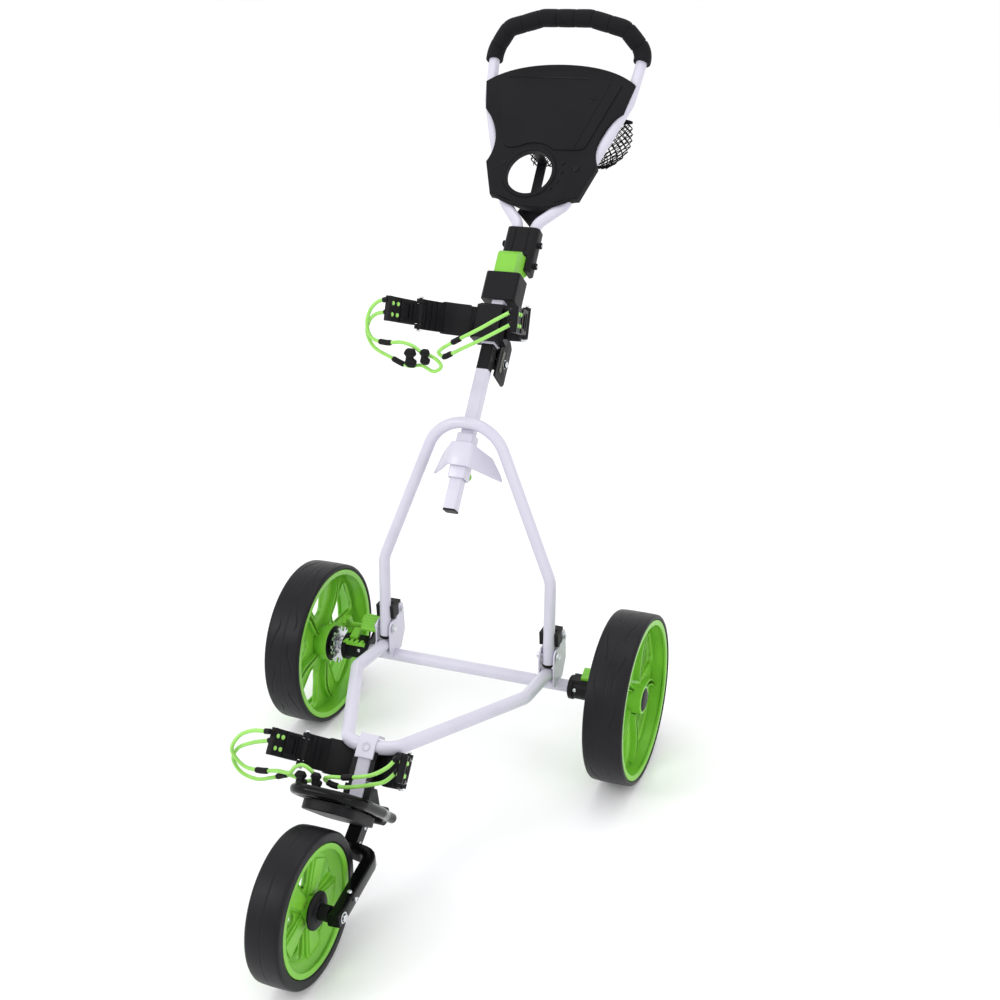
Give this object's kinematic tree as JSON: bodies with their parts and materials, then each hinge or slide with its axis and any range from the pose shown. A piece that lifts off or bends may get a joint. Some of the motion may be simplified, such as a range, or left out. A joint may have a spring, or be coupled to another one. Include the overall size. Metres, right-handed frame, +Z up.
{
  "type": "golf push trolley",
  "caption": "Three-wheeled folding golf bag trolley with a bent tube frame, two strapped bag cradles, a foam-gripped handle and a console.",
  "frame": {"origin": "on the ground, under the middle of the trolley without its cords", "axes": "+Z up, +Y from the front wheel towards the person who pushes, +X towards the right rear wheel seen from the front"},
  "size_m": [0.657, 1.3262, 1.1942],
  "materials": {
    "white_paint": "gloss white powder coat",
    "black_plastic": "satin moulded black plastic",
    "black_gloss": "gloss black coating",
    "green_plastic": "satin lime green moulded plastic",
    "green_cord": "woven sleeve over elastic cord",
    "tyre_foam": "satin black foam tyre",
    "grip_foam": "matt black foam with fine grooves",
    "bright_steel": "zinc-plated steel",
    "net": "black net"
  },
  "bodies": {
    "lower_frame": {"lower_loop_tube": "white_paint", "cross_tube": "white_paint", "left_hinge_bracket": "white_paint", "right_hinge_bracket": "white_paint", "left_pivot_bolt": "bright_steel", "right_pivot_bolt": "bright_steel", "front_stub": "white_paint", "lower_bag_cradle": "black_plastic", "stub_fitting": "black_plastic", "bag_rest_rim": "black_gloss", "bag_rest_base": "black_plastic", "left_axle_housing": "black_plastic", "right_axle_housing": "black_plastic", "rear_axle": "bright_steel"},
    "left_wheel": {"left_tyre": "tyre_foam", "left_rim": "green_plastic", "brake_star": "bright_steel"},
    "right_wheel": {"right_tyre": "tyre_foam", "right_rim": "green_plastic"},
    "fork": {"fork_post": "black_gloss", "fork_arm": "black_gloss", "front_axle": "black_plastic"},
    "front_wheel": {"front_tyre": "tyre_foam", "front_rim": "green_plastic", "front_hub_flange": "black_plastic"},
    "upright": {"a_frame_tube": "white_paint", "wing_bracket": "white_paint"},
    "left_clip": {"left_leg_clip": "black_plastic"},
    "right_clip": {"right_leg_clip": "black_plastic"},
    "mast": {"lower_mast_tube": "white_paint", "mast_end_cap": "black_plastic", "hinge_insert": "black_plastic"},
    "knob": {"pull_knob": "green_plastic"},
    "upper_mast": {"hinge_channel": "black_plastic", "upper_mast_tube": "white_paint", "upper_bag_cradle": "black_plastic", "collar": "black_plastic", "handle_tongue": "green_plastic"},
    "cam": {"cam_lever": "black_plastic"},
    "handle": {"handle_block": "black_plastic", "handle_tube": "white_paint", "handle_grip": "grip_foam", "console": "black_plastic", "bottle_holder": "black_plastic", "mesh_bag": "net"},
    "lower_left_arm": {"lower_left_tip": "black_plastic", "lower_left_cord": "green_cord", "lower_left_hook": "black_plastic", "lower_right_hook": "black_plastic"},
    "lower_right_arm": {"lower_right_tip": "black_plastic", "lower_right_cord": "green_cord"},
    "upper_left_arm": {"upper_left_tip": "black_plastic", "upper_left_cord": "green_cord", "upper_left_hook": "black_plastic", "upper_right_hook": "black_plastic"},
    "upper_right_arm": {"upper_right_tip": "black_plastic", "upper_right_cord": "green_cord"},
    "brake": {"brake_pedal": "green_plastic"},
    "left_lever": {"left_release_lever": "green_plastic"},
    "right_lever": {"right_release_lever": "green_plastic"}
  },
  "joints": [
    {"name": "left_wheel_spin", "type": "hinge", "parent": "lower_frame", "child": "left_wheel", "pos_m": [-0.2945, 0.0633, 0.147], "axis": [1, 0, 0], "continuous": true},
    {"name": "right_wheel_spin", "type": "hinge", "parent": "lower_frame", "child": "right_wheel", "pos_m": [0.2945, 0.0633, 0.147], "axis": [1, 0, 0], "continuous": true},
    {"name": "fork_fold", "type": "hinge", "parent": "lower_frame", "child": "fork", "pos_m": [0, -0.3487, 0.132], "axis": [1, 0, 0], "range_deg": [0, 150]},
    {"name": "front_wheel_spin", "type": "hinge", "parent": "fork", "child": "front_wheel", "pos_m": [0, -0.5507, 0.113], "axis": [1, 0, 0], "continuous": true},
    {"name": "upright_fold", "type": "hinge", "parent": "lower_frame", "child": "upright", "pos_m": [0, 0.0593, 0.203], "axis": [1, 0, 0], "range_deg": [0, 75]},
    {"name": "left_clip_open", "type": "hinge", "parent": "lower_frame", "child": "left_clip", "pos_m": [-0.155, 0.0963, 0.224], "axis": [-1, 0, 0], "range_deg": [0, 60]},
    {"name": "right_clip_open", "type": "hinge", "parent": "lower_frame", "child": "right_clip", "pos_m": [0.155, 0.0963, 0.224], "axis": [-1, 0, 0], "range_deg": [0, 60]},
    {"name": "mast_slide", "type": "slide", "parent": "upright", "child": "mast", "axis": [0, 0.6561, 0.7547], "range_m": [-0.08, 0]},
    {"name": "knob_pull", "type": "slide", "parent": "upright", "child": "knob", "axis": [0, 0.7547, -0.6561], "range_m": [0, 0.008], "stiffness_N_per_m": 400, "springref_m": -0.004},
    {"name": "mast_fold", "type": "hinge", "parent": "mast", "child": "upper_mast", "pos_m": [0, 0.24282, 0.65476], "axis": [-1, 0, 0], "range_deg": [0, 120]},
    {"name": "cam_open", "type": "hinge", "parent": "upper_mast", "child": "cam", "pos_m": [0, 0.32439, 0.76537], "axis": [1, 0, 0], "range_deg": [0, 100]},
    {"name": "handle_tilt", "type": "hinge", "parent": "upper_mast", "child": "handle", "pos_m": [0, 0.36192, 0.79635], "axis": [1, 0, 0], "range_deg": [-20, 15]},
    {"name": "lower_left_arm_swing", "type": "hinge", "parent": "lower_frame", "child": "lower_left_arm", "pos_m": [-0.08426, -0.36536, 0.23839], "axis": [0, 0.6561, 0.7547], "range_deg": [-40, 0]},
    {"name": "lower_right_arm_swing", "type": "hinge", "parent": "lower_frame", "child": "lower_right_arm", "pos_m": [0.08426, -0.36536, 0.23839], "axis": [0, 0.6561, 0.7547], "range_deg": [0, 40]},
    {"name": "upper_left_arm_swing", "type": "hinge", "parent": "upper_mast", "child": "upper_left_arm", "pos_m": [-0.09378, 0.1482, 0.76505], "axis": [0, 0.3746, 0.9272], "range_deg": [-40, 0]},
    {"name": "upper_right_arm_swing", "type": "hinge", "parent": "upper_mast", "child": "upper_right_arm", "pos_m": [0.09378, 0.1482, 0.76505], "axis": [0, 0.3746, 0.9272], "range_deg": [0, 40]},
    {"name": "brake_press", "type": "hinge", "parent": "lower_frame", "child": "brake", "pos_m": [-0.225, 0.0993, 0.17], "axis": [1, 0, 0], "range_deg": [0, 22]},
    {"name": "left_lever_lift", "type": "hinge", "parent": "lower_frame", "child": "left_lever", "pos_m": [-0.22125, 0.0633, 0.17], "axis": [1, 0, 0], "range_deg": [0, 8]},
    {"name": "right_lever_lift", "type": "hinge", "parent": "lower_frame", "child": "right_lever", "pos_m": [0.22125, 0.0633, 0.17], "axis": [1, 0, 0], "range_deg": [0, 8]}
  ]
}
